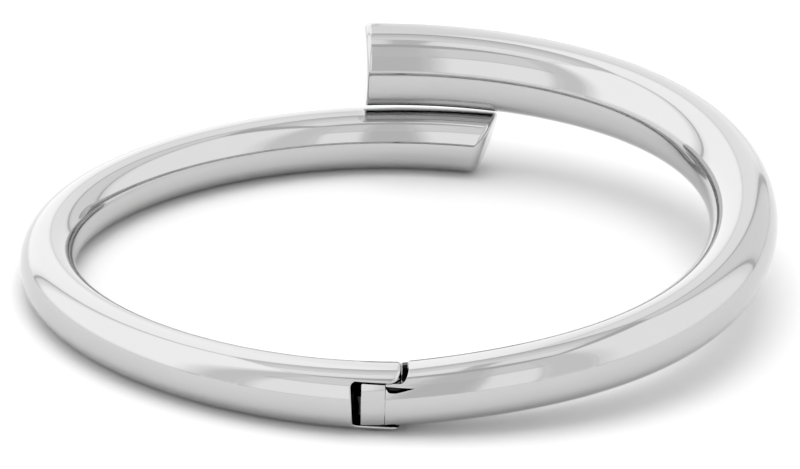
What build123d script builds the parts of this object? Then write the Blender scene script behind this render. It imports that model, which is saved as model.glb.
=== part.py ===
"""Hinged bypass bangle: two hollow oval half-hoops on a spring-loaded knuckle hinge.

Millimetres, +Z up. The bangle lies flat: the left half rests on Z = 0, the right
half climbs from the hinge at the front (-Y) and its free end passes over the
left one at the back (+Y). The origin is the middle of the footprint.
"""

from build123d import *
from math import asin, cos, pi, radians, sin
import os

# ---- driving dimensions: the oval hoop ----
INNER_HALF_WIDTH = {"left": 29.6, "right": 28.4}
INNER_HALF_DEPTH = 24.5
FULLNESS = {"left": -0.006, "right": 0.017}
CENTRE_Y = -0.7
WIDTH_TO_HEIGHT = 0.915
HEIGHT_AT_HINGE = {"left": 6.2, "right": 5.85}
HEIGHT_AT_END = {"left": 5.9, "right": 7.85}
MID_SLIMMING = {"left": 0.45, "right": 0.0}
RIGHT_FOOT = 0.3
RIGHT_RISE = 6.12
RISE_BOW = 0.715
LEVELS_FROM = 0.86
LEVELLING = 11.0
WALL = 0.6
SECTIONS = 21

# ---- driving dimensions: the free ends ----
LEFT_END_X = 8.0
RIGHT_END_X = -2.8
LEFT_END_NORMAL = (1, -0.27, -0.30)
RIGHT_END_NORMAL = (-1, -0.08, 0)
END_LOFT_FROM = 0.93
LEFT_LOFT_TO = 1.135
RIGHT_LOFT_TO = 1.075
LOFT_OVERRUN = 0.01
CAP_THICKNESS = 0.9
CAP_SPIGOT = 1.4
CAP_EDGE_RADIUS = 0.45
SPIGOT_SECTIONS = 5
END_REACH = 8.0

# ---- driving dimensions: the hinge ----
SLOT_LEFT_AT_TOP = -4.4
SLOT_LEFT_AT_BOTTOM = -4.14
LUG_RADIUS = 2.45
SHOULDER_RADIUS = 3.05
SLOT_TOP = 5.23
SLOT_BOTTOM_LEFT = 0.80
SLOT_BOTTOM_RIGHT = 0.62
TONGUE_TOP = 5.15
TONGUE_BOTTOM_LEFT = 0.90
TONGUE_BOTTOM_RIGHT = 1.05
TONGUE_END = -3.43
TONGUE_INSET = 0.1
TONGUE_HALF_HEIGHT = 3.6
TONGUE_RAISE = 0.5
TAB_EDGE = -1.3
SLOT_CORNER = 0.5
PIN_RADIUS = 0.6
PIN_TOP = 5.8
PIN_PRESS_GAP = 0.01
PIN_RUNNING_GAP = 0.03
SOLDER_GAP = 0.04
SEAM_GAP = 0.04
TONGUE_EDGE_BREAK = 0.12
FORK_SECTIONS = 7
FORK_TO = 0.137
PLUG_TO = 0.075
TAB_OVERLAP = 0.5
TAB_NOTCH_VIEW = [(-1.5, 4.89), (-1.5, 4.85), (-1.0, 4.42), (-0.35, 4.40), (1.33, 4.88)]
SHIELD_RUNNING_GAP = 0.05
SHIELD_FROM = 0.6
SHIELD_INSET = 0.12
FRONT_REACH = 40.0
FRONT_LIMIT = -20.0
SKY = 8.0

# ---- driving dimensions: the closing spring ----
CAM_TILT = 15.0
CAM_REACH = 1.53
CAM_ARM = 0.6
OPENING_ANGLE = 60.0
CAM_HALF_HEIGHT = 0.85
CAM_POINTS = 9
KNUCKLE_SWEEP_RADIUS = 2.35
WEB_CLEARANCE = 1.65
PLUNGER_STANDOFF = 0.02
PLUNGER_RADIUS = 0.8
PLUNGER_OFFSET = 0.35
PLUNGER_LENGTH = 2.7
COLLAR_RADIUS = 1.2
COLLAR_LENGTH = 0.5
STEM_RADIUS = 0.5
STEM_LENGTH = 1.3
GUIDE_GAP = 0.03
GUIDE_LENGTH = 2.6
GUIDE_OVERRUN = 1.0
CHAMBER_RADIUS = 1.3
COLLAR_PLAY = 0.1
SPRING_WIRE_RADIUS = 0.16
SPRING_MEAN_RADIUS = 0.95
SPRING_LENGTH = 3.3
SPRING_TURNS = 5
SPRING_END_PLAY = 0.02
SEAT_LENGTH = 1.2
SEAT_PEG = 0.9
SEAT_SLOT = 0.4

# ---- values that follow from the driving dimensions ----
SIGN = {"left": -1, "right": 1}
HINGE_MID_Y = CENTRE_Y - INNER_HALF_DEPTH - WIDTH_TO_HEIGHT * HEIGHT_AT_HINGE["left"] / 2
HINGE_MID_Z = HEIGHT_AT_HINGE["left"] / 2
COLLAR_FROM = CAM_REACH + GUIDE_LENGTH + COLLAR_PLAY
SPRING_FROM = COLLAR_FROM + COLLAR_LENGTH
SEAT_FROM = SPRING_FROM + SPRING_LENGTH
COIL_LENGTH = SPRING_LENGTH - 2 * SPRING_WIRE_RADIUS - 2 * SPRING_END_PLAY
SPRING_PITCH = COIL_LENGTH / SPRING_TURNS


def outline_point(side, s):
    """Inner plan outline at s = 0 (hinge) to 1 (back), with its outward normal."""
    t = pi * s
    k = FULLNESS[side]
    half_width = INNER_HALF_WIDTH[side] / (1 - k)
    half_depth = INNER_HALF_DEPTH / (1 - k)
    x = SIGN[side] * half_width * (sin(t) + k * sin(3 * t))
    y = CENTRE_Y - half_depth * (cos(t) - k * cos(3 * t))
    tangent_x = SIGN[side] * half_width * (cos(t) + 3 * k * cos(3 * t))
    tangent_y = half_depth * (sin(t) - 3 * k * sin(3 * t))
    tangent = Vector(tangent_x, tangent_y).normalized()
    outward = Vector(tangent.Y, -tangent.X) * SIGN[side]
    return Vector(x, y), tangent, outward


def section_height(side, s):
    """Outside height of the hoop's oval section."""
    start = HEIGHT_AT_HINGE[side]
    return start + (HEIGHT_AT_END[side] - start) * s - 4 * MID_SLIMMING[side] * s * (1 - s)


def underside(side, s):
    """Height of the lowest point of the section above the table."""
    if side == "left":
        return 0.0
    levelled = LEVELLING * max(0.0, s - LEVELS_FROM) ** 2
    return RIGHT_FOOT + RIGHT_RISE * (s + RISE_BOW * s * (1 - s)) - levelled


def section_plane(side, s):
    """Upright plane across the hoop: local x outward, local y up."""
    inner, tangent, outward = outline_point(side, s)
    height = section_height(side, s)
    middle = inner + outward * (WIDTH_TO_HEIGHT * height / 2)
    origin = (middle.X, middle.Y, underside(side, s) + height / 2)
    return Plane(origin=origin, x_dir=outward, z_dir=outward.cross(Vector(0, 0, 1)))


def s_at_x(side, x):
    """Station on the front of the hoop whose inner outline passes x."""
    return asin(SIGN[side] * x / INNER_HALF_WIDTH[side]) / pi


def hoop(side, inset, s_from, s_to, count=SECTIONS):
    """Solid hoop length between two stations, inset from the outside surface."""
    with BuildPart() as length:
        for i in range(count):
            s = s_from + (s_to - s_from) * i / (count - 1)
            height = section_height(side, s)
            with BuildSketch(section_plane(side, s)):
                Ellipse(WIDTH_TO_HEIGHT * height / 2 - inset, height / 2 - inset)
        loft()
    return length.part


def end_plane(side, x, normal):
    """Cutting plane of a free end, through the middle of its section."""
    s = 1 + asin(-SIGN[side] * x / INNER_HALF_WIDTH[side]) / pi
    return Plane(origin=section_plane(side, s).origin, z_dir=Vector(*normal).normalized())


def end_square(cut, depth):
    """Square on the plane this far inside a free end, large enough to cover it."""
    with BuildSketch(cut.offset(-depth)) as square:
        Rectangle(2 * END_REACH, 2 * END_REACH)
    return square.sketch


LEFT_END = end_plane("left", LEFT_END_X, LEFT_END_NORMAL)
RIGHT_END = end_plane("right", RIGHT_END_X, RIGHT_END_NORMAL)


# ---- the knuckle cam: an involute, so the plunger moves in step with the angle ----
def cam_directions():
    """Unit vectors: the way the plunger is pushed, and along its face outwards."""
    tilt = radians(CAM_TILT)
    return Vector(-cos(tilt), sin(tilt)), Vector(-sin(tilt), -cos(tilt))


def cam_offset(angle):
    """Point of the cam that bears on the plunger at this opening, from the pin."""
    push, along = cam_directions()
    reach = CAM_REACH + CAM_ARM * angle
    by_push = reach * cos(angle) - CAM_ARM * sin(angle)
    by_along = reach * sin(angle) + CAM_ARM * cos(angle)
    return push * by_push + along * by_along


TONGUE_FACE_Y = (
    CENTRE_Y - INNER_HALF_DEPTH - WIDTH_TO_HEIGHT * HEIGHT_AT_HINGE["right"] + TONGUE_INSET
)
PIN = Vector(TONGUE_END, TONGUE_FACE_Y) - cam_offset(radians(OPENING_ANGLE))
SHOULDER_X = PIN.X + SHOULDER_RADIUS
WEB_Y = PIN.Y + WEB_CLEARANCE
SHIELD_X = PIN.X + LUG_RADIUS + SHIELD_RUNNING_GAP
SHIELD_Y = PIN.Y + SHIELD_FROM
LUG_END_S = s_at_x("left", PIN.X + LUG_RADIUS)
TAB_S = s_at_x("right", TAB_EDGE)
NOSE_S = s_at_x("right", TONGUE_END - 1)
PLUG_FROM = s_at_x("right", TAB_EDGE - TAB_OVERLAP)


def plunger_plane(distance):
    """Plane across the plunger's axis, this far from the pin, facing away from it."""
    push, along = cam_directions()
    centre = PIN + along * PLUNGER_OFFSET + push * distance
    return Plane(origin=(centre.X, centre.Y, HINGE_MID_Z), z_dir=push, x_dir=along)


def front_plane(back_y):
    """Plane facing the front at this depth."""
    return Plane.XZ.offset(-back_y)


def front_view(back_y, corners, radius):
    """Outline drawn in the front view at this depth, with its left corners rounded."""
    with BuildSketch(front_plane(back_y)) as outline:
        with BuildLine():
            Polyline(*corners, close=True)
        make_face()
        fillet(outline.vertices().group_by(Axis.X)[0], radius=radius)
    return outline.sketch


def lug_trim(radius):
    """Plan of what lies beyond a lug's end: round about the pin on the outer side."""
    with BuildSketch() as plan:
        with Locations((PIN.X + FRONT_REACH / 2, PIN.Y - FRONT_REACH / 2)):
            Rectangle(FRONT_REACH, FRONT_REACH)
        with Locations((PIN.X, PIN.Y)):
            Circle(radius, mode=Mode.SUBTRACT)
    return plan.sketch


def shoulder_clearance():
    """Plan of the space that the right half leaves for the lugs."""
    with BuildSketch() as plan:
        with Locations((PIN.X, PIN.Y)):
            Circle(SHOULDER_RADIUS)
        with Locations((PIN.X - FRONT_REACH / 2, PIN.Y)):
            Rectangle(FRONT_REACH, 2 * SHOULDER_RADIUS)
        with Locations((PIN.X + SHOULDER_RADIUS - FRONT_REACH / 2, PIN.Y + 2 * SHOULDER_RADIUS)):
            Rectangle(FRONT_REACH, 4 * SHOULDER_RADIUS)
    return plan.sketch


SLOT_VIEW = [
    (SLOT_LEFT_AT_BOTTOM, SLOT_BOTTOM_LEFT),
    (FRONT_REACH / 4, SLOT_BOTTOM_RIGHT),
    (FRONT_REACH / 4, SLOT_TOP),
    (SLOT_LEFT_AT_TOP, SLOT_TOP),
]
TONGUE_VIEW = [
    (TONGUE_END, TONGUE_BOTTOM_LEFT),
    (FRONT_REACH / 4, TONGUE_BOTTOM_RIGHT),
    (FRONT_REACH / 4, TONGUE_TOP),
    (TONGUE_END, TONGUE_TOP),
]


def knuckle_plan():
    """Plan of the tongue: involute nose, round about the pin on the inner side."""
    nose = PIN + cam_directions()[0] * CAM_REACH
    inner_side = PIN + Vector(0, CAM_REACH)
    full_turn = radians(OPENING_ANGLE)
    involute = [PIN + cam_offset(full_turn * i / (CAM_POINTS - 1)) for i in range(CAM_POINTS)]
    outside_y = involute[-1].Y - 1
    with BuildSketch() as plan:
        with BuildLine():
            Spline(*involute)
            Line(involute[0], nose)
            RadiusArc(nose, inner_side, CAM_REACH)
            Polyline(
                inner_side,
                (SHOULDER_X, inner_side.Y),
                (SHOULDER_X, outside_y),
                (involute[-1].X, outside_y),
                involute[-1],
            )
        make_face()
    return plan.sketch


def tongue_bar():
    """Length of the right hoop's outline with the tongue's own section, which is flatter."""
    with BuildPart() as bar:
        for i in range(FORK_SECTIONS):
            s = NOSE_S + (PLUG_TO - NOSE_S) * i / (FORK_SECTIONS - 1)
            half_width = WIDTH_TO_HEIGHT * section_height("right", s) / 2
            with BuildSketch(section_plane("right", s)):
                with Locations((0, TONGUE_RAISE)):
                    Ellipse(half_width - TONGUE_INSET, TONGUE_HALF_HEIGHT)
        loft()
        with Locations((TAB_EDGE - SEAM_GAP, 0, -SKY)):
            Box(
                FRONT_REACH,
                2 * FRONT_REACH,
                3 * SKY,
                align=(Align.MAX, Align.CENTER, Align.MIN),
                mode=Mode.INTERSECT,
            )
    return bar.part


def write(piece, name):
    """Label a finished piece and write its file."""
    piece.part.label = name
    export_step(piece.part, f"parts/{name}.step")


os.makedirs("parts", exist_ok=True)

# ---- left half: shell and cap ----
left_outside = hoop("left", 0, LUG_END_S, LEFT_LOFT_TO)
left_hollow = hoop("left", WALL, LUG_END_S - LOFT_OVERRUN, LEFT_LOFT_TO + LOFT_OVERRUN)

with BuildPart() as left_shell:
    add(left_outside)
    add(left_hollow, mode=Mode.SUBTRACT)
    extrude(end_square(LEFT_END, CAP_THICKNESS + SEAM_GAP), amount=END_REACH, mode=Mode.SUBTRACT)
    extrude(lug_trim(LUG_RADIUS), amount=SKY, mode=Mode.SUBTRACT)
    extrude(front_view(HINGE_MID_Y, SLOT_VIEW, SLOT_CORNER), amount=FRONT_REACH, mode=Mode.SUBTRACT)
    with Locations((PIN.X, PIN.Y, PIN_TOP / 2)):
        Cylinder(PIN_RADIUS + PIN_PRESS_GAP, PIN_TOP, mode=Mode.SUBTRACT)
write(left_shell, "left_shell")


def end_cap(side, outside, loft_to, cut):
    """Cap that closes a free end: rounded plate with a spigot inside the shell."""
    spigot_inset = WALL + SOLDER_GAP
    spigot_hoop = hoop(side, spigot_inset, END_LOFT_FROM, loft_to, SPIGOT_SECTIONS)
    with BuildPart() as spigot:
        add(spigot_hoop)
        extrude(
            end_square(cut, CAP_THICKNESS + CAP_SPIGOT),
            amount=CAP_SPIGOT + CAP_THICKNESS / 2,
            mode=Mode.INTERSECT,
        )
    with BuildPart() as cap:
        add(outside)
        extrude(end_square(cut, CAP_THICKNESS), amount=CAP_THICKNESS, mode=Mode.INTERSECT)
        rim = cap.faces().filter_by(GeomType.PLANE).sort_by_distance(cut.origin)[0].edges()
        fillet(rim, radius=CAP_EDGE_RADIUS)
        add(spigot.part)
    return cap


left_end_cap = end_cap("left", left_outside, LEFT_LOFT_TO, LEFT_END)
write(left_end_cap, "left_end_cap")

# ---- left half: the fork that the shell is soldered to ----
with BuildPart() as hinge_fork:
    add(hoop("left", WALL + SOLDER_GAP, LUG_END_S, FORK_TO, FORK_SECTIONS))
    extrude(lug_trim(LUG_RADIUS), amount=SKY, mode=Mode.SUBTRACT)
    extrude(front_view(WEB_Y, SLOT_VIEW, SLOT_CORNER), amount=FRONT_REACH, mode=Mode.SUBTRACT)
    with BuildSketch(Plane.XY.offset(SLOT_BOTTOM_LEFT)):
        with Locations((PIN.X, PIN.Y)):
            Circle(KNUCKLE_SWEEP_RADIUS)
        with Locations((PIN.X, WEB_Y + KNUCKLE_SWEEP_RADIUS)):
            Rectangle(4 * KNUCKLE_SWEEP_RADIUS, 2 * KNUCKLE_SWEEP_RADIUS, mode=Mode.SUBTRACT)
    extrude(amount=SLOT_TOP - SLOT_BOTTOM_LEFT, mode=Mode.SUBTRACT)
    with Locations((PIN.X, PIN.Y, PIN_TOP / 2)):
        Cylinder(PIN_RADIUS + PIN_PRESS_GAP, PIN_TOP, mode=Mode.SUBTRACT)
    with BuildSketch(plunger_plane(CAM_REACH)):
        Circle(PLUNGER_RADIUS + GUIDE_GAP)
    extrude(amount=GUIDE_LENGTH + GUIDE_OVERRUN, mode=Mode.SUBTRACT)
    with BuildSketch(plunger_plane(CAM_REACH + GUIDE_LENGTH)):
        Circle(CHAMBER_RADIUS)
    extrude(amount=FRONT_REACH / 2, mode=Mode.SUBTRACT)
write(hinge_fork, "hinge_fork")

with BuildPart() as hinge_pin:
    with BuildSketch(Plane.XY):
        with Locations((PIN.X, PIN.Y)):
            Circle(PIN_RADIUS)
    extrude(amount=PIN_TOP - SOLDER_GAP)
    add(left_outside, mode=Mode.INTERSECT)
write(hinge_pin, "hinge_pin")

# ---- closing spring: plunger, spring and seat, in line behind the knuckle ----
with BuildPart() as cam_plunger:
    with BuildSketch(plunger_plane(CAM_REACH + PLUNGER_STANDOFF)):
        Circle(PLUNGER_RADIUS)
    extrude(amount=PLUNGER_LENGTH)
    with BuildSketch(plunger_plane(COLLAR_FROM)):
        Circle(COLLAR_RADIUS)
    extrude(amount=COLLAR_LENGTH)
    with BuildSketch(plunger_plane(COLLAR_FROM)):
        Circle(STEM_RADIUS)
    extrude(amount=COLLAR_LENGTH + STEM_LENGTH)
write(cam_plunger, "cam_plunger")

with BuildPart() as plunger_spring:
    with BuildLine() as coil:
        Helix(
            SPRING_PITCH,
            SPRING_PITCH * SPRING_TURNS,
            SPRING_MEAN_RADIUS,
            center=plunger_plane(SPRING_FROM + SPRING_WIRE_RADIUS + SPRING_END_PLAY).origin,
            direction=cam_directions()[0],
        )
    with BuildSketch(Plane(origin=coil.line @ 0, z_dir=coil.line % 0)):
        Circle(SPRING_WIRE_RADIUS)
    sweep()
write(plunger_spring, "plunger_spring")

with BuildPart() as spring_seat:
    with BuildSketch(plunger_plane(SEAT_FROM)):
        Circle(CHAMBER_RADIUS - PIN_PRESS_GAP)
    extrude(amount=SEAT_LENGTH)
    with BuildSketch(plunger_plane(SEAT_FROM)):
        Circle(STEM_RADIUS)
    extrude(amount=-SEAT_PEG)
    with BuildSketch(plunger_plane(SEAT_FROM + SEAT_LENGTH)):
        Rectangle(2 * CHAMBER_RADIUS, SEAT_SLOT)
    extrude(amount=-SEAT_SLOT, mode=Mode.SUBTRACT)
write(spring_seat, "spring_seat")

# ---- right half: shell and cap ----
right_outside = hoop("right", 0, TAB_S, RIGHT_LOFT_TO)
right_hollow = hoop("right", WALL, TAB_S - LOFT_OVERRUN, RIGHT_LOFT_TO + LOFT_OVERRUN)

with BuildPart() as right_front_waste:
    extrude(shoulder_clearance(), amount=SKY)
    with BuildSketch(front_plane(HINGE_MID_Y)):
        with BuildLine():
            Polyline(*TONGUE_VIEW, close=True)
        make_face()
    extrude(amount=FRONT_REACH, mode=Mode.SUBTRACT)

with BuildPart() as right_shell:
    add(right_outside)
    add(right_hollow, mode=Mode.SUBTRACT)
    extrude(end_square(RIGHT_END, CAP_THICKNESS + SEAM_GAP), amount=END_REACH, mode=Mode.SUBTRACT)
    add(right_front_waste.part, mode=Mode.SUBTRACT)
    with Locations((TAB_EDGE, 0, 0)):
        Box(
            FRONT_REACH,
            2 * INNER_HALF_DEPTH,
            SKY,
            align=(Align.MAX, Align.MAX, Align.MIN),
            mode=Mode.SUBTRACT,
        )
    with BuildSketch(front_plane(HINGE_MID_Y)):
        with BuildLine():
            Polyline(*TAB_NOTCH_VIEW, close=True)
        make_face()
    extrude(amount=FRONT_REACH, mode=Mode.SUBTRACT)
write(right_shell, "right_shell")

right_end_cap = end_cap("right", right_outside, RIGHT_LOFT_TO, RIGHT_END)
write(right_end_cap, "right_end_cap")

# ---- right half: the knuckle that turns on the pin ----
with BuildPart() as nose_block:
    add(tongue_bar())
    extrude(front_view(FRONT_LIMIT, TONGUE_VIEW, TONGUE_EDGE_BREAK), amount=FRONT_REACH, mode=Mode.INTERSECT)

with BuildPart() as cam_block:
    with BuildSketch(Plane.XY.offset(HINGE_MID_Z - CAM_HALF_HEIGHT)):
        Rectangle(FRONT_REACH, 2 * FRONT_REACH)
    extrude(amount=2 * CAM_HALF_HEIGHT)
    add(hoop("right", TONGUE_INSET, NOSE_S, TAB_S, FORK_SECTIONS), mode=Mode.INTERSECT)

with BuildPart() as gap_shield:
    add(hoop("right", SHIELD_INSET, PLUG_FROM, PLUG_TO, FORK_SECTIONS))
    with Locations((SHIELD_X, SHIELD_Y, 0)):
        Box(
            SHOULDER_X - SEAM_GAP - SHIELD_X,
            FRONT_REACH,
            SKY,
            align=Align.MIN,
            mode=Mode.INTERSECT,
        )

with BuildPart() as plug_block:
    add(hoop("right", WALL + SOLDER_GAP, PLUG_FROM, PLUG_TO, FORK_SECTIONS))
    with BuildPart(mode=Mode.SUBTRACT):
        add(right_front_waste.part)
        with Locations((SHIELD_X, SHIELD_Y, 0)):
            Box(FRONT_REACH, FRONT_REACH, SKY, align=Align.MIN, mode=Mode.SUBTRACT)
    add(gap_shield.part)

with BuildPart() as hinge_knuckle:
    add(nose_block.part)
    add(cam_block.part)
    with BuildSketch():
        add(knuckle_plan())
    extrude(amount=SKY, mode=Mode.INTERSECT)
    add(plug_block.part)
    with Locations((PIN.X, PIN.Y, HINGE_MID_Z)):
        Cylinder(PIN_RADIUS + PIN_RUNNING_GAP, SKY, mode=Mode.SUBTRACT)
write(hinge_knuckle, "hinge_knuckle")
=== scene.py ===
"""Looks of the hinged bypass bangle: polished skins, hinge details, floor, light and camera.

Lengths are in millimetres until a mesh is made, which is then in metres. The skins follow
the same formulas as the CAD part, so they lie on its surface.
"""

from math import cos, pi, radians, sin

import bpy
import numpy as np
from mathutils import Matrix, Vector
from mathutils.geometry import delaunay_2d_cdt


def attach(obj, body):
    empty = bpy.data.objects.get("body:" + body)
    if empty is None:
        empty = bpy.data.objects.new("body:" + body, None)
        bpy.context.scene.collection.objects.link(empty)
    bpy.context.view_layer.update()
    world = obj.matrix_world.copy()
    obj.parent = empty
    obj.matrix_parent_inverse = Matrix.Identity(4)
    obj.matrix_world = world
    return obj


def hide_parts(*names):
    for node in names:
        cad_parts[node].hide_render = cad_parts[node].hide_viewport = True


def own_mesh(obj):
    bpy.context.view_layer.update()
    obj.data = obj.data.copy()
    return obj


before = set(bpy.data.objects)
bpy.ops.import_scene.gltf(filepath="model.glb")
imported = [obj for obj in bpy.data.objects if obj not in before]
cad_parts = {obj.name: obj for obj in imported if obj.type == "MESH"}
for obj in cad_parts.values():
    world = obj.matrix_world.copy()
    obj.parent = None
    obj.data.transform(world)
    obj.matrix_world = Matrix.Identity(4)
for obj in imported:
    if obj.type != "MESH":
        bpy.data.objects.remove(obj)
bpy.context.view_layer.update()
MM = 0.001

# ---- the hoop, as in the CAD part ----
INNER_HALF_WIDTH = {"left": 29.6, "right": 28.4}
INNER_HALF_DEPTH = 24.5
FULLNESS = {"left": -0.006, "right": 0.017}
CENTRE_Y = -0.7
WIDTH_TO_HEIGHT = 0.915
HEIGHT_AT_HINGE = {"left": 6.2, "right": 5.85}
HEIGHT_AT_END = {"left": 5.9, "right": 7.85}
MID_SLIMMING = {"left": 0.45, "right": 0.0}
RIGHT_FOOT = 0.3
RIGHT_RISE = 6.12
RISE_BOW = 0.715
LEVELS_FROM = 0.86
LEVELLING = 11.0
WALL = 0.6
SIGN = {"left": -1, "right": 1}

# ---- the free ends ----
END_X = {"left": 8.0, "right": -2.8}
END_NORMAL = {"left": (1, -0.27, -0.30), "right": (-1, -0.08, 0)}
CAP_THICKNESS = 0.9
CAP_SPIGOT = 1.4
SPIGOT_INSET = 0.64

# ---- the hinge, with front-view lines as (x, z, x, z), but SLOT_LEFT as (z, x, z, x) ----
PIN = (-2.3281, -28.5023)
HINGE_MID_Z = 3.1
SLOT_LEFT = (0.80, -4.14, 5.23, -4.4)
SLOT_TOP = 5.23
SLOT_BOTTOM = (-4.4, 0.80, 10.0, 0.62)
LUG_RADIUS = 2.45
SHOULDER_RADIUS = 3.05
TAB_EDGE = -1.3
TONGUE_TOP = 5.15
TONGUE_END = -3.43
TONGUE_BOTTOM = (-3.43, 0.90, 10.0, 1.05)
FACE_BACK_Y = -29.0
FACE_DEPTH = 10.0

# ---- the part of a hinge end that is drawn in the front view, in theta ----
LOW_THETA = -1.40
HIGH_THETA = 1.30

# ---- the notch above the tab, in the front view (x, z), and the strip beside it ----
TAB_NOTCH = ((TAB_EDGE, 4.82), (-1.0, 4.42), (-0.35, 4.40), (1.33, 4.86))
TAB_STRIP = ((TAB_EDGE, 4.89), (TAB_EDGE, TONGUE_TOP))

# ---- rounded edges: reach along each cut, and a cap's rounding as level and slope ----
EDGE_LUGS = 0.2
EDGE_SLOT_TOP = 0.12
EDGE_SLOT_BOTTOM = 0.3
EDGE_SLOT_LEFT = 0.17
EDGE_UPPER_LUG = 0.42
EDGE_TAB = 0.035
EDGE_SHOULDER = 0.14
EDGE_MOST_OF_WALL = 0.4
CAP_ROUND = {"left": (0.95, -0.6), "right": (0.38, 0.2)}
CAP_MOST_OF_RIM = 0.92

# ---- how finely the skins are divided; the counts are for the lines of a hinge end ----
AROUND = 96
STATIONS = 230
FIRST_STATION = {"left": 0.075, "right": 0.045}
OUTER_SPACING = 0.2
INNER_SPACING = 0.4
BEVEL_STEPS = 5
CAP_STEPS = 10
PATH_POINTS = 400
HALVINGS = 48
LEFT_COUNTS = (14, 34, 30, 34, 16)
RIGHT_COUNTS = (12, 16, 30, 7, 7, 16, 26, 5, 16, 14)
TUBE_HALF = 3.0

# ---- the closing spring: the plunger's axis, and its travel in metres ----
PLUNGER_AXIS = (-0.9659258, 0.2588190, 0.0)
PLUNGER_TRAVEL = 0.00065

# ---- the studio, in metres ----
FLOOR_HALF_SIZE = 3.0
FLOOR_Z = -0.00002
TENT = 0.6
TENT_TOP = 1.32
ROOF = 1.35
FRONT_RAIL = 0.52
RAIL_HALF = 0.003
SLIT_RAIL_HALF = 0.008

# ---- the camera: degrees, metres and millimetres of lens ----
CAMERA_TURN = -0.711
CAMERA_TILT = 25.711
CAMERA_ROLL = 1.162
CAMERA_DISTANCE = 0.8
CAMERA_LENS = 392.9
AIM_ASIDE = 0.081
AIM_HEIGHT = 5.837

# ---- colours of the metal that shows, and of the near-black painted shade in the hinge ----
POLISHED = (0.52, 0.52, 0.52)
# painted shade: near-black colour standing in for the shade inside the hinge gaps
KNUCKLE_PAINTED_SHADE = (0.02, 0.02, 0.02, 1)


def outline(side, s):
    """Inner plan outline at station s (0 hinge, 1 back): points and outward directions."""
    t = pi * s
    k = FULLNESS[side]
    a = INNER_HALF_WIDTH[side] / (1 - k)
    b = INNER_HALF_DEPTH / (1 - k)
    x = SIGN[side] * a * (np.sin(t) + k * np.sin(3 * t))
    y = CENTRE_Y - b * (np.cos(t) - k * np.cos(3 * t))
    tx = SIGN[side] * a * (np.cos(t) + 3 * k * np.cos(3 * t))
    ty = b * (np.sin(t) - 3 * k * np.sin(3 * t))
    length = np.hypot(tx, ty)
    return x, y, SIGN[side] * ty / length, -SIGN[side] * tx / length


def tube(side, s, theta, inset=0.0):
    """Points on the hoop's surface; theta is 0 on the outer side and pi/2 on top."""
    s, theta = np.broadcast_arrays(np.asarray(s, float), np.asarray(theta, float))
    x, y, ox, oy = outline(side, s)
    start = HEIGHT_AT_HINGE[side]
    height = start + (HEIGHT_AT_END[side] - start) * s - 4 * MID_SLIMMING[side] * s * (1 - s)
    width = WIDTH_TO_HEIGHT * height
    under = 0 * s
    if side == "right":
        under = RIGHT_FOOT + RIGHT_RISE * (s + RISE_BOW * s * (1 - s))
        under = under - LEVELLING * np.maximum(0, s - LEVELS_FROM) ** 2
    out = width / 2 + (width / 2 - inset) * np.cos(theta)
    up = under + height / 2 + (height / 2 - inset) * np.sin(theta)
    return np.stack([x + ox * out, y + oy * out, up], -1)


def slopes(side, s, theta, inset=0.0):
    """How a surface point moves with s and with theta."""
    step = 1e-4
    by_s = (tube(side, s + step, theta, inset) - tube(side, s - step, theta, inset)) / (2 * step)
    by_theta = (tube(side, s, theta + step, inset) - tube(side, s, theta - step, inset)) / (2 * step)
    return by_s, by_theta


def unit(v):
    """The same directions with length 1."""
    return v / np.linalg.norm(v, axis=-1, keepdims=True)


def tube_normal(side, s, theta, inset=0.0):
    """Outward unit normals of the surface."""
    by_s, by_theta = slopes(side, s, theta, inset)
    return unit(np.cross(by_s, by_theta)) * SIGN[side]


def solve_station(side, theta, inset, gap, low, high):
    """Station between low and high where gap(points) changes sign, for each theta."""
    low = np.full(np.shape(theta), float(low))
    high = np.full(np.shape(theta), float(high))
    sign = np.sign(gap(tube(side, low, theta, inset)))
    for _ in range(HALVINGS):
        middle = (low + high) / 2
        same = np.sign(gap(tube(side, middle, theta, inset))) == sign
        low = np.where(same, middle, low)
        high = np.where(same, high, middle)
    return (low + high) / 2


def from_front(side, points, inset=0.0):
    """Stations and thetas of front-view points (x, z) on the outer side near the hinge."""
    x, z = points[:, 0], points[:, 1]
    s = SIGN[side] * x / INNER_HALF_WIDTH[side] / pi
    theta = 0 * s
    for _ in range(40):
        middle = tube(side, s, 0 * s, inset)[:, 2]
        half = tube(side, s, 0 * s + pi / 2, inset)[:, 2] - middle
        theta = np.arcsin(np.clip((z - middle) / half, -0.9999, 0.9999))
        by_s = slopes(side, s, theta, inset)[0]
        s = s - (tube(side, s, theta, inset)[:, 0] - x) / by_s[:, 0]
    return np.stack([s, theta], -1)


def round_end(radius):
    """Signed gap in plan to the line that ends a half at the hinge."""
    def gap(p):
        dy = p[..., 1] - PIN[1]
        reach = np.sqrt(np.maximum(radius**2 - np.minimum(dy, 0) ** 2, 0.01))
        return p[..., 0] - PIN[0] - reach
    return gap


def line_at(line, x):
    """Height of a straight front-view line (x0, z0, x1, z1) at this x."""
    x0, z0, x1, z1 = line
    return z0 + (z1 - z0) * (x - x0) / (x1 - x0)


def spaced(path, count):
    """The path again, as this many points evenly spaced."""
    steps = np.linalg.norm(np.diff(path, axis=0), axis=1)
    along = np.concatenate([[0], np.cumsum(steps)])
    at = np.linspace(0, along[-1], count)
    return np.stack([np.interp(at, along, path[:, k]) for k in range(path.shape[1])], -1)


def length_of(path):
    """Length of a path of points."""
    return np.linalg.norm(np.diff(path, axis=0), axis=1).sum()


def cut_back(path, amount):
    """The path without its last stretch."""
    dense = spaced(path, PATH_POINTS)
    return dense[: max(2, int(round(PATH_POINTS * (1 - amount / length_of(path)))))]


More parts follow.
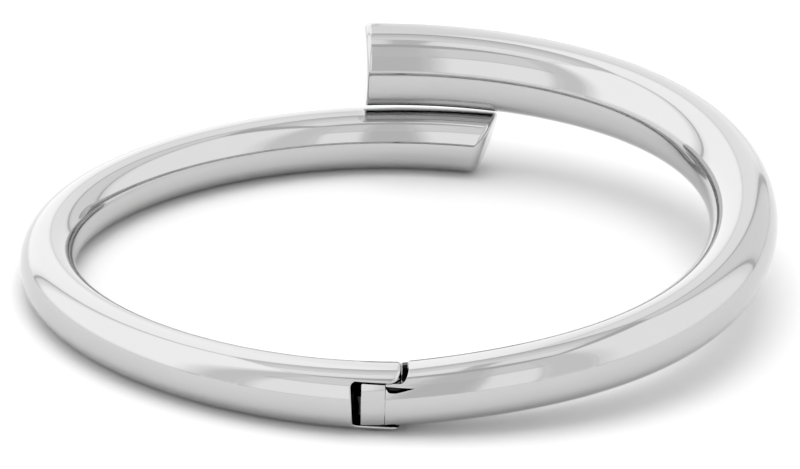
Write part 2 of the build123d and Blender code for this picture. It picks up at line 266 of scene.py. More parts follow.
def corner_arc(start, corner, end, count):
    """Points between start and end on a curve that rounds this corner."""
    t = np.linspace(0, 1, count + 2)[1:-1, None]
    handle = 0.55
    p1 = start + (corner - start) * handle
    p2 = end + (corner - end) * handle
    return (1 - t) ** 3 * start + 3 * t * (1 - t) ** 2 * p1 + 3 * t**2 * (1 - t) * p2 + t**3 * end


def rounded(paths, radii, counts, corner_count):
    """Joins paths end to end, each corner rounded, with a fixed number of points."""
    paths = [spaced(np.asarray(p, float), PATH_POINTS) for p in paths]
    joined = []
    arcs = []
    for i, radius in enumerate(radii):
        a, b = paths[i], paths[i + 1]
        reach = min(radius, 0.45 * length_of(a), 0.45 * length_of(b))
        corner = a[-1]
        a = cut_back(a, reach)
        b = cut_back(b[::-1], reach)[::-1]
        paths[i], paths[i + 1] = a, b
        arcs.append(corner_arc(a[-1], corner, b[0], corner_count))
    for i, path in enumerate(paths):
        joined.append(spaced(path, counts[i]))
        if i < len(arcs):
            joined.append(arcs[i])
    return np.concatenate(joined)


def hinge_end(side, inset, radius, front_paths, radii, counts, corner_count):
    """Line that ends a half at the hinge, all round its section, as (s, theta)."""
    gap = round_end(radius)

    def end_at(theta):
        theta = np.asarray(theta, float)
        s = solve_station(side, theta, inset, gap, -0.06, 0.08)
        return np.stack([s, theta], -1)

    def front_xz(theta):
        p = tube(side, *end_at(theta).T, inset)
        return p[:, [0, 2]]

    def theta_where(z_line, guess):
        theta = guess
        for _ in range(60):
            s, _t = end_at([theta])[0]
            p = tube(side, s, theta, inset)
            middle = tube(side, s, 0.0, inset)[2]
            half = tube(side, s, pi / 2, inset)[2] - middle
            theta = float(np.arcsin(np.clip((line_at(z_line, p[0]) - middle) / half, -1, 1)))
        return theta

    low_corner, high_corner, middle_paths = front_paths(theta_where, front_xz)
    low = end_at(np.linspace(-pi, LOW_THETA, 46)[:-1])
    high = end_at(np.linspace(HIGH_THETA, pi, 50)[1:-1])
    first = front_xz(np.linspace(LOW_THETA, low_corner, 60))
    last = front_xz(np.linspace(high_corner, HIGH_THETA, 60))
    front = rounded([first, *middle_paths, last], radii, counts, corner_count)
    return np.concatenate([low, from_front(side, front, inset), high])


def left_hinge_end(inset):
    """The lugs' ends and the slot between them."""
    top_line = (-10, SLOT_TOP, 10, SLOT_TOP)

    def paths(theta_where, front_xz):
        low = theta_where(SLOT_BOTTOM, -0.9)
        high = theta_where(top_line, 0.8)
        p_low = front_xz(np.array([low]))[0]
        p_high = front_xz(np.array([high]))[0]
        corner_low = (SLOT_LEFT[1], SLOT_LEFT[0])
        corner_high = (SLOT_LEFT[3], SLOT_LEFT[2])
        lines = [[p_low, corner_low], [corner_low, corner_high], [corner_high, p_high]]
        return low, high, lines

    shrink = 1.0 if inset == 0 else 0.4
    radii = [0.45 * shrink, 0.5, 0.5, 0.8 * shrink]
    return hinge_end("left", inset, LUG_RADIUS, paths, radii, LEFT_COUNTS, 7)


def right_hinge_end(inset):
    """The shoulder's line, the tab in front of the knuckle and the notch above the tab."""
    top_line = (-10, TONGUE_TOP, 10, TONGUE_TOP)
    lift = 0.0 if inset == 0 else 0.3
    x0, z0, x1, z1 = TONGUE_BOTTOM
    bottom_line = (x0, z0 + lift, x1, z1 + lift)

    def paths(theta_where, front_xz):
        low = theta_where(bottom_line, -0.8)
        high = theta_where(top_line, 0.7)
        p_low = front_xz(np.array([low]))[0]
        p_high = front_xz(np.array([high]))[0]
        corner = (TAB_EDGE, line_at(bottom_line, TAB_EDGE))
        stops = [p_low, corner, *TAB_NOTCH, *TAB_STRIP, p_high]
        lines = [[a, b] for a, b in zip(stops, stops[1:])]
        return low, high, lines

    shrink = 1.0 if inset == 0 else 0.5
    radii = [0.4 * shrink, 0.09, 0.3, 0.15, 0.2, 0.02, 0.08, 0.08, 0.55 * shrink]
    return hinge_end("right", inset, SHOULDER_RADIUS, paths, radii, RIGHT_COUNTS, 5)


class Skin:
    """A mesh being made: points in mm, and faces with a normal at each corner."""

    def __init__(self):
        self.points = []
        self.faces = []
        self.normals = []

    def add(self, points):
        """Adds points and gives their numbers."""
        start = len(self.points)
        self.points.extend(np.asarray(points, float).reshape(-1, 3))
        return np.arange(start, len(self.points)).reshape(np.shape(points)[:-1])

    def face(self, ids, normals):
        """Adds a face, turned so that its own normal agrees with the ones given."""
        p = np.array([self.points[i] for i in ids])
        if normals is not None and np.cross(p[2] - p[0], p[-1] - p[1]) @ np.sum(normals, 0) < 0:
            ids = ids[::-1]
            normals = normals[::-1]
        self.faces.append([int(i) for i in ids])
        self.normals.append(normals)

    def strip(self, ids_a, ids_b, normals_a, normals_b):
        """Quads between two closed rings of the same length, with normals at both rings."""
        for i in range(len(ids_a)):
            j = (i + 1) % len(ids_a)
            ids = [ids_a[i], ids_a[j], ids_b[j], ids_b[i]]
            self.face(ids, [normals_a[i], normals_a[j], normals_b[j], normals_b[i]])

    def flat_strip(self, ids_a, ids_b, flip):
        """Flat quads between two closed rings; flip turns them over."""
        for i in range(len(ids_a)):
            j = (i + 1) % len(ids_a)
            ids = [ids_a[i], ids_a[j], ids_b[j], ids_b[i]]
            self.face(ids[::-1] if flip else ids, None)

    def fan(self, ids, centre, normal=None, flip=False):
        """Triangles from a closed ring to its middle; flip counts if no normal is given."""
        for i in range(len(ids)):
            face = [ids[i], ids[(i + 1) % len(ids)], centre]
            self.face(face[::-1] if flip else face, None if normal is None else [normal] * 3)

    def corner_normals(self, points):
        """One normal for each corner of each face; a face without any gets its own."""
        normals = []
        for ids, given in zip(self.faces, self.normals):
            if given is None:
                p = points[ids]
                across = np.cross(p[2] - p[0], p[-1] - p[1])
                given = [across / max(np.linalg.norm(across), 1e-12)] * len(ids)
            normals.extend(given)
        return normals

    def make(self, name):
        """The mesh as an object in the scene."""
        points = np.array(self.points)
        mesh = bpy.data.meshes.new(name)
        mesh.from_pydata((points * MM).tolist(), [], self.faces)
        loop_normals = self.corner_normals(points)
        mesh.polygons.foreach_set("use_smooth", [True] * len(mesh.polygons))
        mesh.normals_split_custom_set([tuple(n) for n in loop_normals])
        mesh.update()
        obj = bpy.data.objects.new(name, mesh)
        bpy.context.scene.collection.objects.link(obj)
        return obj


def end_frame(side):
    """Middle point and unit normal of a free end's plane, as in the CAD part."""
    s = 1 + np.arcsin(-SIGN[side] * END_X[side] / INNER_HALF_WIDTH[side]) / pi
    front, back = tube(side, s, 0.0), tube(side, s, pi)
    top, bottom = tube(side, s, pi / 2), tube(side, s, -pi / 2)
    origin = np.array([(front[0] + back[0]) / 2, (front[1] + back[1]) / 2, (top[2] + bottom[2]) / 2])
    return origin, unit(np.array(END_NORMAL[side], float))


def ring_at_depth(side, depth, theta, inset=0.0):
    """Stations where the surface is this far inside a free end's plane."""
    origin, normal = end_frame(side)
    return solve_station(side, theta, inset, lambda p: (p - origin) @ normal + depth, 0.8, 1.2)


def dot(a, b):
    """Row by row scalar product."""
    return np.einsum("ij,ij->i", a, b)


def angle(a, b):
    """Row by row angle between unit vectors."""
    return np.arccos(np.clip(dot(a, b), -1, 1))


def rounding(start, corner, end, weight, t):
    """Point at t on a weighted curve that leaves start and reaches end, pulled to corner."""
    top = (1 - t) ** 2 * start + 2 * t * (1 - t) * weight * corner + t**2 * end
    return top / ((1 - t) ** 2 + 2 * t * (1 - t) * weight + t**2)


def moved_on_surface(side, st, move):
    """The (s, theta) points after a small move in space, kept on the surface."""
    by_s, by_theta = slopes(side, *st.T)
    g11 = dot(by_s, by_s)
    g12 = dot(by_s, by_theta)
    g22 = dot(by_theta, by_theta)
    m1 = dot(move, by_s)
    m2 = dot(move, by_theta)
    det = g11 * g22 - g12**2
    ds = (m1 * g22 - m2 * g12) / det
    dtheta = (m2 * g11 - m1 * g12) / det
    return st + np.stack([ds, dtheta], -1)


def bevelled_edge(skin, side, st, inner_st, setback):
    """Rounded edge and wall of a cut: returns the ring on the surface and the inner ring."""
    s, theta = st.T
    p = tube(side, s, theta)
    along = unit(np.roll(p, -1, 0) - np.roll(p, 1, 0))
    outward = unit(np.cross(along, tube_normal(side, s, theta)))
    if np.mean(dot(outward, slopes(side, s, theta)[0])) > 0:
        outward = -outward
    inner = tube(side, *inner_st.T, WALL)
    down = unit(inner - p)
    wall_normal = unit(np.cross(along, down))
    wall_normal = wall_normal * np.sign(dot(wall_normal, outward))[:, None]
    ring_st = moved_on_surface(side, st, -outward * setback[:, None])
    a = tube(side, *ring_st.T)
    na = tube_normal(side, *ring_st.T)
    deepest = EDGE_MOST_OF_WALL * np.linalg.norm(inner - p, axis=1)
    b = p + down * np.minimum(setback, deepest)[:, None]
    turn = angle(na, wall_normal)
    weight = np.cos(turn / 2)[:, None]
    rings = []
    for k in range(BEVEL_STEPS + 1):
        t = k / BEVEL_STEPS
        n = na * np.sin((1 - t) * turn)[:, None] + wall_normal * np.sin(t * turn)[:, None]
        rings.append((rounding(a, p, b, weight, t), unit(n + 1e-9 * na)))
    ids = [skin.add(point) for point, _ in rings]
    inner_ids = skin.add(inner)
    for k in range(BEVEL_STEPS):
        skin.strip(ids[k], ids[k + 1], rings[k][1], rings[k + 1][1])
    skin.strip(ids[-1], inner_ids, wall_normal, wall_normal)
    return ring_st, ids[0], inner_ids


def ring_angles():
    """Thetas of a whole ring of points, from the seam at the back."""
    return -pi + 2 * pi * np.arange(AROUND) / AROUND


def front_border(skin, side, ring_st, ring_ids, far_s, far_ids, inset, count):
    """Closed border, as (s, theta) and point numbers, of the surface that fill_front makes."""
    ring = np.concatenate([ring_st, [ring_st[0] + [0, 2 * pi]]])
    ring_lookup = np.concatenate([ring_ids, [ring_ids[0]]])
    seam_s = np.linspace(ring_st[0][0], far_s, count + 1)[1:-1]
    seam_ids = skin.add(tube(side, seam_s, pi, inset))
    far_theta = np.concatenate([ring_angles(), [pi]])
    far = np.stack([np.full(AROUND + 1, far_s), far_theta], -1)
    far_lookup = np.concatenate([far_ids, [far_ids[0]]])
    up_seam = np.stack([seam_s, np.full(len(seam_s), pi)], -1)
    down_seam = np.stack([seam_s, np.full(len(seam_s), -pi)], -1)[::-1]
    border = np.concatenate([ring, up_seam, far[::-1], down_seam])
    border_ids = np.concatenate([ring_lookup, seam_ids, far_lookup[::-1], seam_ids[::-1]])
    return border, border_ids


def staggered_points(low_s, far_s, count):
    """Rows of points all round the tube, every second row shifted by half a step."""
    inside_s, inside_theta = [], []
    for i, s in enumerate(np.linspace(low_s, far_s, count)[1:-1]):
        shift = 0.5 * (i % 2)
        inside_s.extend([s] * AROUND)
        inside_theta.extend(-pi + 2 * pi * (np.arange(AROUND) + shift) / AROUND)
    return np.stack([inside_s, inside_theta], -1)


def fill_front(skin, side, ring_st, ring_ids, far_s, far_ids, inset, sign, spacing):
    """Surface between a hinge end's ring and the ring of the first whole station."""
    scale = np.array([pi * (INNER_HALF_WIDTH[side] + TUBE_HALF), TUBE_HALF])
    seam_count = int((far_s - ring_st[0][0]) * scale[0] / spacing)
    border, border_ids = front_border(
        skin, side, ring_st, ring_ids, far_s, far_ids, inset, seam_count
    )
    low_s = ring_st[:, 0].min()
    inside = staggered_points(low_s, far_s, int((far_s - low_s) * scale[0] / spacing))
    inside = inside[keep_inside(inside * scale, border * scale, 0.55 * spacing)]
    inside_ids = skin.add(tube(side, *inside.T, inset))
    flat = np.concatenate([border, inside]) * scale
    lookup = np.concatenate([border_ids, inside_ids])
    verts = [Vector(v) for v in flat]
    result = delaunay_2d_cdt(verts, [], [list(range(len(border)))], 1, 1e-5)
    out_verts, faces, origins = result[0], result[2], result[3]
    st = np.array([tuple(v) for v in out_verts]) / scale
    normals = tube_normal(side, *st.T, inset) * sign
    for f in faces:
        ids = [lookup[origins[v][0]] for v in f]
        if len(set(ids)) == 3:
            skin.face(ids, [normals[v] for v in f])


def keep_inside(points, polygon, margin):
    """Which points are inside the polygon and at least this far from its sides."""
    a = polygon
    b = np.roll(polygon, -1, 0)
    inside = np.zeros(len(points), bool)
    nearest = np.full(len(points), 1e9)
    for (x0, y0), (x1, y1) in zip(a, b):
        crosses = (points[:, 1] < y0) != (points[:, 1] < y1)
        if y0 != y1:
            x = x0 + (points[:, 1] - y0) * (x1 - x0) / (y1 - y0)
            inside ^= crosses & (points[:, 0] < x)
        d = np.array([x1 - x0, y1 - y0])
        size = max(d @ d, 1e-12)
        t = np.clip(((points - [x0, y0]) @ d) / size, 0, 1)
        gap = points - [x0, y0] - t[:, None] * d
        nearest = np.minimum(nearest, np.hypot(gap[:, 0], gap[:, 1]))
    return inside & (nearest > margin)


def tube_rings(skin, side, inset, sign):
    """The tube from the first whole station to the cap: its first and its last ring."""
    columns = ring_angles()
    front_s = FIRST_STATION[side]
    end_s = ring_at_depth(side, CAP_THICKNESS, columns, inset)
    rings = []
    for i in range(STATIONS + 1):
        s = front_s + (end_s - front_s) * i / STATIONS
        ids = skin.add(tube(side, s, columns, inset))
        rings.append((ids, tube_normal(side, s, columns, inset) * sign))
        if i > 0:
            skin.strip(rings[-2][0], ids, rings[-2][1], rings[-1][1])
    return rings[0][0], rings[-1][0]


def shell(side, hinge_outline):
    """A half-hoop's shell, from its cut hinge end to the seam of its end cap."""
    skin = Skin()
    st = hinge_outline(0.0)
    inner_st = hinge_outline(WALL)
    ring_st, ring_ids, inner_ids = bevelled_edge(skin, side, st, inner_st, edge_setback(side, st))
    outer_first, outer_last = tube_rings(skin, side, 0.0, 1)
    inner_first, inner_last = tube_rings(skin, side, WALL, -1)
    far_s = FIRST_STATION[side]
    fill_front(skin, side, ring_st, ring_ids, far_s, outer_first, 0.0, 1, OUTER_SPACING)
    fill_front(skin, side, inner_st, inner_ids, far_s, inner_first, WALL, -1, INNER_SPACING)
    skin.flat_strip(outer_last, inner_last, side == "right")
    return skin.make(f"{side}_shell_skin")


def cap_rings(side, theta):
    """Points and normals of a cap's rings, from its seam to close by the middle of its face."""
    _origin, plane_normal = end_frame(side)
    edge = tube(side, ring_at_depth(side, 0.0, theta), theta)
    back_s = ring_at_depth(side, CAP_THICKNESS, theta)
    back = tube(side, back_s, theta)
    centre = edge.mean(0)
    inward = unit(centre - edge)
    turn = angle(unit(edge - back), inward)
    level, slope = CAP_ROUND[side]
    radius = level + slope * np.sin(theta)
    longest = CAP_MOST_OF_RIM * np.linalg.norm(edge - back, axis=1)
    reach = np.minimum(radius * np.tan(turn / 2), longest)
    depth = reach * np.abs(unit(edge - back) @ plane_normal)
    start_s = [ring_at_depth(side, d, np.array([t]))[0] for d, t in zip(depth, theta)]
    rings = []
    for f in (0.0, 0.34, 0.67, 1.0):
        s = back_s + (np.array(start_s) - back_s) * f
        rings.append((tube(side, s, theta), tube_normal(side, s, theta)))
    a, na = rings[-1]
    b = edge + inward * reach[:, None]
    face_n = np.broadcast_to(plane_normal, b.shape)
    bend = np.arccos(np.clip(na @ plane_normal, -1, 1))
    weight = np.cos(turn / 2)[:, None]
    for k in range(1, CAP_STEPS + 1):
        t = k / CAP_STEPS
        n = na * np.sin((1 - t) * bend)[:, None] + face_n * np.sin(t * bend)[:, None]
        rings.append((rounding(a, edge, b, weight, t), unit(n)))
    for f in (0.75, 0.5, 0.25):
        rings.append((centre + (b - centre) * f, face_n))
    return rings, centre, plane_normal


def end_cap(side):
    """A free end's cap: the last of the tube, a rounded edge, a flat face and the spigot."""
    skin = Skin()
    theta = ring_angles()
    rings, centre, plane_normal = cap_rings(side, theta)
    ids = [skin.add(p) for p, _ in rings]
    for k in range(len(ids) - 1):
        skin.strip(ids[k], ids[k + 1], rings[k][1], rings[k + 1][1])
    skin.fan(ids[-1], int(skin.add(centre)), plane_normal)
    flip = side == "left"
    previous = ids[0]
    for d in (CAP_THICKNESS, CAP_THICKNESS + CAP_SPIGOT):
        s = ring_at_depth(side, d, theta, SPIGOT_INSET)
        now = skin.add(tube(side, s, theta, SPIGOT_INSET))
        skin.flat_strip(previous, now, flip)
        previous = now
    middle = np.array([skin.points[i] for i in previous]).mean(0)
    skin.fan(previous, int(skin.add(middle)), None, flip)
    return skin.make(f"{side}_end_cap_skin")


# ---- materials ----
def new_material(name):
    """A node material with its nodes, links and shader."""
    material = bpy.data.materials.new(name)
    material.use_nodes = True
    nodes = material.node_tree.nodes
    return material, nodes, material.node_tree.links, nodes["Principled BSDF"]


def noise(nodes, links, coords, scale, detail):
    """Noise over the object's own coordinates."""
    texture = nodes.new("ShaderNodeTexNoise")
    texture.inputs["Scale"].default_value = scale
    texture.inputs["Detail"].default_value = detail
    links.new(coords.outputs["Object"], texture.inputs["Vector"])
    return texture


def polished_metal(name, colour, roughness, spread, bump):
    """Bright polished metal: faint cloudy roughness and a barely visible polish grain."""
    material, nodes, links, shader = new_material(name)
    shader.inputs["Metallic"].default_value = 1.0
    coords = nodes.new("ShaderNodeTexCoord")
    cloud = noise(nodes, links, coords, 140.0, 4.0)
    grain = noise(nodes, links, coords, 2600.0, 3.0)
    rough = nodes.new("ShaderNodeMapRange")
    rough.inputs["From Min"].default_value = 0.3
    rough.inputs["From Max"].default_value = 0.7
    rough.inputs["To Min"].default_value = roughness
    rough.inputs["To Max"].default_value = roughness + spread
    links.new(cloud.outputs["Fac"], rough.inputs["Value"])
    links.new(rough.outputs["Result"], shader.inputs["Roughness"])
    tint = nodes.new("ShaderNodeValToRGB")
    first, last = tint.color_ramp.elements
    first.position = 0.3
    last.position = 0.7
    first.color = tuple(c * 0.985 for c in colour) + (1,)
    last.color = tuple(colour) + (1,)
    links.new(cloud.outputs["Fac"], tint.inputs["Fac"])
    links.new(tint.outputs["Color"], shader.inputs["Base Color"])
    relief = nodes.new("ShaderNodeBump")
    relief.inputs["Strength"].default_value = bump
    relief.inputs["Distance"].default_value = 0.00002
    links.new(grain.outputs["Fac"], relief.inputs["Height"])
    links.new(relief.outputs["Normal"], shader.inputs["Normal"])
    return material


def near(nodes, links, value, centre, reach):
    """A test that is 1 where a coordinate is within reach of centre, both in mm."""
    test = nodes.new("ShaderNodeMath")
    test.operation = "COMPARE"
    test.inputs[1].default_value = centre * MM
    test.inputs[2].default_value = reach * MM
    links.new(value, test.inputs[0])
    return test


def product(nodes, links, first, second):
    """Two values multiplied."""
    times = nodes.new("ShaderNodeMath")
    times.operation = "MULTIPLY"
    links.new(first, times.inputs[0])
    links.new(second, times.inputs[1])
    return times.outputs["Value"]


def paint_shade_beside_face(material, painted_shade):
    """Keeps the polish to the tongue's own face; the rest of the knuckle is painted near black, a
    painted shade for the dark gap around it.
    """
    nodes, links = material.node_tree.nodes, material.node_tree.links
    shader = nodes["Principled BSDF"]
    coords = nodes.new("ShaderNodeTexCoord")
    split = nodes.new("ShaderNodeSeparateXYZ")
    links.new(coords.outputs["Object"], split.inputs["Vector"])
    middle = (TONGUE_END + TAB_EDGE) / 2
    across = (TAB_EDGE - TONGUE_END) / 2 + 0.02
    deep = FACE_DEPTH / 2
    over_x = near(nodes, links, split.outputs["X"], middle, across)
    over_y = near(nodes, links, split.outputs["Y"], FACE_BACK_Y - deep, deep + 0.02)
    both = product(nodes, links, over_x.outputs["Value"], over_y.outputs["Value"])
    tint = shader.inputs["Base Color"].links[0].from_socket
    # painted shade: off the tongue's face, the knuckle's colour is mixed to near black
    mix = nodes.new("ShaderNodeMix")
    mix.data_type = "RGBA"
    mix.inputs["A"].default_value = painted_shade
    links.new(both, mix.inputs["Factor"])
    links.new(tint, mix.inputs["B"])
    links.new(mix.outputs["Result"], shader.inputs["Base Color"])


def floor_material():
    """Matt white board with a very faint mottle."""
    material, nodes, links, shader = new_material("floor_white")
    shader.inputs["Roughness"].default_value = 0.9
    shader.inputs["Specular IOR Level"].default_value = 0.1
    coords = nodes.new("ShaderNodeTexCoord")
    mottle = nodes.new("ShaderNodeTexNoise")
    mottle.inputs["Scale"].default_value = 12.0
    links.new(coords.outputs["Object"], mottle.inputs["Vector"])
    tint = nodes.new("ShaderNodeValToRGB")
    tint.color_ramp.elements[0].color = (0.66, 0.66, 0.66, 1)
    tint.color_ramp.elements[1].color = (0.67, 0.67, 0.67, 1)
    links.new(mottle.outputs["Fac"], tint.inputs["Fac"])
    links.new(tint.outputs["Color"], shader.inputs["Base Color"])
    return material


# ---- stage ----
def add_floor():
    """A wide board, a hair below the bangle."""
    mesh = bpy.data.meshes.new("floor")
    size = FLOOR_HALF_SIZE
    corners = [(-size, -size), (size, -size), (size, size), (-size, size)]
    mesh.from_pydata([(x, y, FLOOR_Z) for x, y in corners], [], [(0, 1, 2, 3)])
    floor = bpy.data.objects.new("floor", mesh)
    bpy.context.scene.collection.objects.link(floor)
    floor.data.materials.append(floor_material())


def side_fade(nodes, links, value, width, edge):
    """1 in the middle of a cloth, edge at both its sides, over this share of its width."""
    offset = nodes.new("ShaderNodeMath")
    offset.operation = "SUBTRACT"
    offset.inputs[1].default_value = 0.5
    links.new(value, offset.inputs[0])
    away = nodes.new("ShaderNodeMath")
    away.operation = "ABSOLUTE"
    links.new(offset.outputs["Value"], away.inputs[0])
    fade = nodes.new("ShaderNodeMapRange")
    fade.interpolation_type = "SMOOTHSTEP"
    fade.inputs["From Min"].default_value = 0.5 - width
    fade.inputs["From Max"].default_value = 0.5
    fade.inputs["To Min"].default_value = 1.0
    fade.inputs["To Max"].default_value = edge
    links.new(away.outputs["Value"], fade.inputs["Value"])
    return fade.outputs["Result"]


def light_material(name, low, high, edge):
    """A lit cloth: strength low at its foot and high at its head, times edge at its sides."""
    material = bpy.data.materials.new(name)
    material.use_nodes = True
    nodes, links = material.node_tree.nodes, material.node_tree.links
    nodes.remove(nodes["Principled BSDF"])
    lamp = nodes.new("ShaderNodeEmission")
    coords = nodes.new("ShaderNodeTexCoord")
    split = nodes.new("ShaderNodeSeparateXYZ")
    links.new(coords.outputs["UV"], split.inputs["Vector"])
    climb = nodes.new("ShaderNodeMapRange")
    climb.interpolation_type = "SMOOTHSTEP"
    climb.inputs["To Min"].default_value = low
    climb.inputs["To Max"].default_value = high
    links.new(split.outputs["Y"], climb.inputs["Value"])
    level = climb.outputs["Result"]
    for axis, width in (("X", 0.16), ("Y", 0.05)):
        fade = side_fade(nodes, links, split.outputs[axis], width, edge)
        level = product(nodes, links, level, fade)
    links.new(level, lamp.inputs["Strength"])
    links.new(lamp.outputs["Emission"], nodes["Material Output"].inputs["Surface"])
    return material


def light_panel(name, centre, facing, size, low, high, edge):
    """A soft rectangular light, facing this way, seen by reflections but not by the camera."""
    z = Vector(facing).normalized()
    x = Vector((0, 0, 1)).cross(z)
    if x.length < 1e-6:
        x = Vector((1, 0, 0))
    x.normalize()
    y = z.cross(x)
    corners = []
    for u, v in ((-0.5, -0.5), (0.5, -0.5), (0.5, 0.5), (-0.5, 0.5)):
        corners.append(Vector(centre) + x * (u * size[0]) + y * (v * size[1]))
    mesh = bpy.data.meshes.new(name)
    mesh.from_pydata(corners, [], [(0, 1, 2, 3)])
    uv = mesh.uv_layers.new(name="UVMap")
    for i, at in enumerate(((0, 0), (1, 0), (1, 1), (0, 1))):
        uv.data[i].uv = at
    panel = bpy.data.objects.new(name, mesh)
    bpy.context.scene.collection.objects.link(panel)
    panel.data.materials.append(light_material(name, low, high, edge))
    panel.visible_camera = False
    return panel


def wall(name, turn_from, turn_to, low, high, level, edge):
    """An upright cloth between two bearings, in degrees; 0 is the photo's front, 90 the right."""
    ends = []
    for turn in (turn_from, turn_to):
        ends.append(Vector((sin(radians(turn)), -cos(radians(turn)), 0)) * TENT)
    middle = (ends[0] + ends[1]) / 2
    width = (ends[1] - ends[0]).length
    place = middle + Vector((0, 0, (low + high) / 2))
    light_panel(f"tent_{name}", place, -middle, (width, high - low), level, level, edge)


def add_tent():
    """Bright upright cloths all round with thin gaps between them, and a dim slit in front."""
    below, above = FRONT_RAIL - RAIL_HALF, FRONT_RAIL + RAIL_HALF
    wall("slit_low", -6, 11, 0.0, FRONT_RAIL - SLIT_RAIL_HALF, 0.86, 1.15)
    wall("slit_high", -6, 11, FRONT_RAIL + SLIT_RAIL_HALF, TENT_TOP, 0.9, 1.15)
    wall("front_left_low", -6.2, -43, 0.0, below, 1.42, 0.76)
    wall("front_left_high", -6.2, -43, above, TENT_TOP, 1.16, 0.86)
    wall("front_right_low", 11.2, 27, 0.0, below, 1.36, 0.8)
    wall("front_right_high", 11.2, 27, above, TENT_TOP, 1.1, 0.9)
    wall("corner_left", -43.2, -54, 0.0, TENT_TOP, 1.02, 1.15)
    wall("corner_right", 27.2, 43, 0.0, TENT_TOP, 1.02, 1.12)
    wall("right", 43.2, 118.8, 0.0, TENT_TOP, 1.4, 0.86)
    wall("right_back", 121.2, 148.8, 0.0, TENT_TOP, 1.15, 0.9)
    wall("back_right", 151.2, 179.8, 0.0, TENT_TOP, 1.36, 0.9)
    wall("back_left", 180, 229, 0.0, TENT_TOP, 1.62, 0.9)
    wall("left", 231, 305.8, 0.0, TENT_TOP, 1.62, 0.75)


def add_roof():
    """Cloths over the tent, and a light from above that reflections don't show."""
    light_panel("roof_back", (-0.07, 0.25, ROOF), (0, 0, -1), (0.86, 0.5), 0.95, 1.25, 0.9)
    light_panel("roof_left", (-0.27, -0.19, ROOF), (0, 0, -1), (0.46, 0.36), 1.45, 1.4, 0.95)
    light_panel("roof_right", (0.2, -0.19, ROOF), (0, 0, -1), (0.32, 0.36), 1.35, 1.3, 0.95)
    light_panel("roof_slit", (0, -0.19, ROOF), (0, 0, -1), (0.08, 0.36), 0.86, 0.86, 1.0)
    above = light_panel("from_above", (-0.1, 0, 1.25), (0, 0, -1), (1.0, 1.0), 4.6, 4.6, 1.0)
    above.visible_glossy = False


def add_world():
    """Pale grey all round, and plain white where the camera sees it."""
    world = bpy.data.worlds.new("studio")
    bpy.context.scene.world = world
    world.use_nodes = True
    nodes, links = world.node_tree.nodes, world.node_tree.links
    background = nodes["Background"]
    background.inputs["Color"].default_value = (0.72, 0.72, 0.72, 1)
    white = nodes.new("ShaderNodeBackground")
    white.inputs["Color"].default_value = (1, 1, 1, 1)
    path = nodes.new("ShaderNodeLightPath")
    mix = nodes.new("ShaderNodeMixShader")
    links.new(path.outputs["Is Camera Ray"], mix.inputs["Fac"])
    links.new(background.outputs["Background"], mix.inputs[1])
    links.new(white.outputs["Background"], mix.inputs[2])
    links.new(mix.outputs["Shader"], nodes["World Output"].inputs["Surface"])
    bpy.context.scene.view_settings.view_transform = "Standard"


def add_camera():
    """The photograph's camera: a long lens, 26 degrees above the table, rolled a little."""
    turn, tilt, roll = radians(CAMERA_TURN), radians(CAMERA_TILT), radians(CAMERA_ROLL)
    back = Vector((sin(turn) * cos(tilt), -cos(turn) * cos(tilt), sin(tilt)))
    right = Vector((cos(turn), sin(turn), 0))
    up = back.cross(right)
    aside = AIM_ASIDE
    target = Vector((aside * cos(turn), aside * sin(turn) + CENTRE_Y, AIM_HEIGHT)) * MM
    place = target + back * CAMERA_DISTANCE
    right_rolled = right * cos(roll) + up * sin(roll)
    up_rolled = up * cos(roll) - right * sin(roll)
    data = bpy.data.cameras.new("camera")
    data.sensor_width = 36.0
    data.sensor_fit = "HORIZONTAL"
    data.lens = CAMERA_LENS
    data.clip_start = 0.05
    data.clip_end = 20.0
    camera = bpy.data.objects.new("camera", data)
    bpy.context.scene.collection.objects.link(camera)
    camera.matrix_world = Matrix((
        (right_rolled.x, up_rolled.x, back.x, place.x),
        (right_rolled.y, up_rolled.y, back.y, place.y),
        (right_rolled.z, up_rolled.z, back.z, place.z),
        (0, 0, 0, 1),
    ))
    bpy.context.scene.camera = camera


# ---- the pieces ----
def dress(obj, material, body=None, node=None):
    """Gives a piece its material, and says what it rides on and which node it replaces."""
    obj.data.materials.clear()
    obj.data.materials.append(material)
    if body:
        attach(obj, body)
        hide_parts(node)


def closing_spring():
    """A copy of the hidden coil, with its axis, its end at the spring seat and the share of its
    length kept when the plunger comes back.
    """
    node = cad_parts["plunger_spring"]
    mesh = node.data.copy()
    mesh.transform(node.matrix_world)
    coil = bpy.data.objects.new("closing_spring", mesh)
    bpy.context.collection.objects.link(coil)
    along = np.array(PLUNGER_AXIS)
    points = np.array([vertex.co for vertex in mesh.vertices])
    reach = points @ along
    length = reach.max() - reach.min()
    seat_end = points.mean(axis=0) + along * (reach.max() - reach.mean())
    keep = 1 - PLUNGER_TRAVEL / length
    return coil, along, seat_end, keep


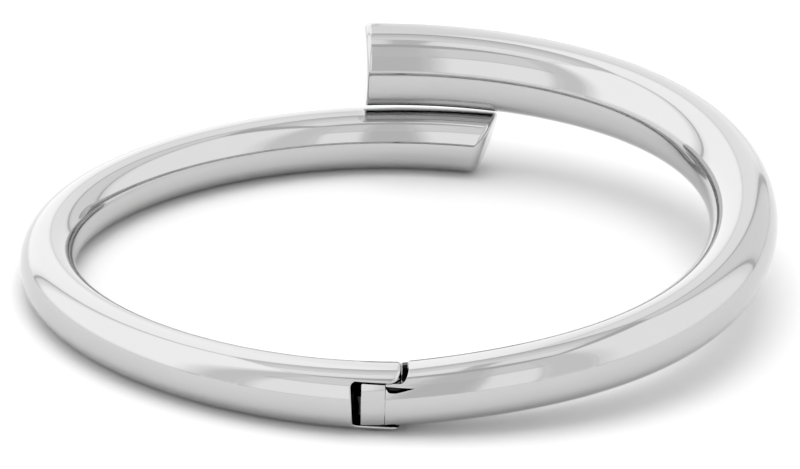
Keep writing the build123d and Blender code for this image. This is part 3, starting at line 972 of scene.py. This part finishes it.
def edge_setback(side, st):
    """How far the rounded edge of a hinge cut reaches, along its line."""
    x, _y, z = tube(side, st[:, 0], st[:, 1]).T
    theta = st[:, 1]
    if side == "left":
        in_slot = abs(theta) < 1.35
        reach = np.full(len(st), EDGE_LUGS)
        reach[in_slot & (z > HINGE_MID_Z)] = EDGE_SLOT_TOP
        reach[in_slot & (z < HINGE_MID_Z)] = EDGE_SLOT_BOTTOM
        reach[x < SLOT_LEFT[1] + 0.2] = EDGE_SLOT_LEFT
        reach[(theta > 0.8) & (theta < 2.0) & (x > -0.9)] = EDGE_UPPER_LUG
    else:
        reach = np.where(abs(theta) < 0.95, EDGE_TAB, EDGE_SHOULDER)
    kernel = np.ones(9) / 9
    padded = np.concatenate([reach[-4:], reach, reach[:4]])
    return np.convolve(padded, kernel, "valid")


def add_pieces():
    """The skins over the shells and caps, the other nodes' materials with a near-black painted shade
    on the fork, pin, plunger and seat, and the spring.
    """
    bright = polished_metal("polished_silver_steel", POLISHED, 0.06, 0.02, 0.04)
    cap_bright = polished_metal("polished_cap", POLISHED, 0.06, 0.02, 0.04)
    # the knuckle's material is polished on the tongue's face and painted near black as shade
    # elsewhere
    hinge = polished_metal("knuckle_steel_painted_shade", POLISHED, 0.06, 0.03, 0.05)
    # painted shade: near-black steel on the fork, pin, plunger and seat, so the hinge gaps look
    # shaded
    painted_shade_steel = polished_metal("hinge_parts_painted_shade", (0.03, 0.03, 0.031), 0.35, 0.08, 0.2)
    paint_shade_beside_face(hinge, KNUCKLE_PAINTED_SHADE)
    spring = polished_metal("spring_wire_steel", (0.45, 0.45, 0.44), 0.2, 0.06, 0.2)
    left = shell("left", left_hinge_end)
    right = shell("right", right_hinge_end)
    dress(left, bright, "left_half", "left_shell")
    dress(right, bright, "right_half", "right_shell")
    left_cap = end_cap("left")
    right_cap = end_cap("right")
    dress(left_cap, cap_bright, "left_half", "left_end_cap")
    dress(right_cap, cap_bright, "right_half", "right_end_cap")
    # the fork, pin, plunger and seat get the near-black painted shade
    node_materials = {
        "hinge_fork": painted_shade_steel,
        "hinge_knuckle": hinge,
        "hinge_pin": painted_shade_steel,
        "cam_plunger": painted_shade_steel,
        "spring_seat": painted_shade_steel,
    }
    for name, material in node_materials.items():
        dress(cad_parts[name], material)
    coil, along, seat_end, keep = closing_spring()
    dress(coil, spring, "left_half", "plunger_spring")
    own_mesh(coil)


add_camera()
add_floor()
add_tent()
add_roof()
add_world()
add_pieces()
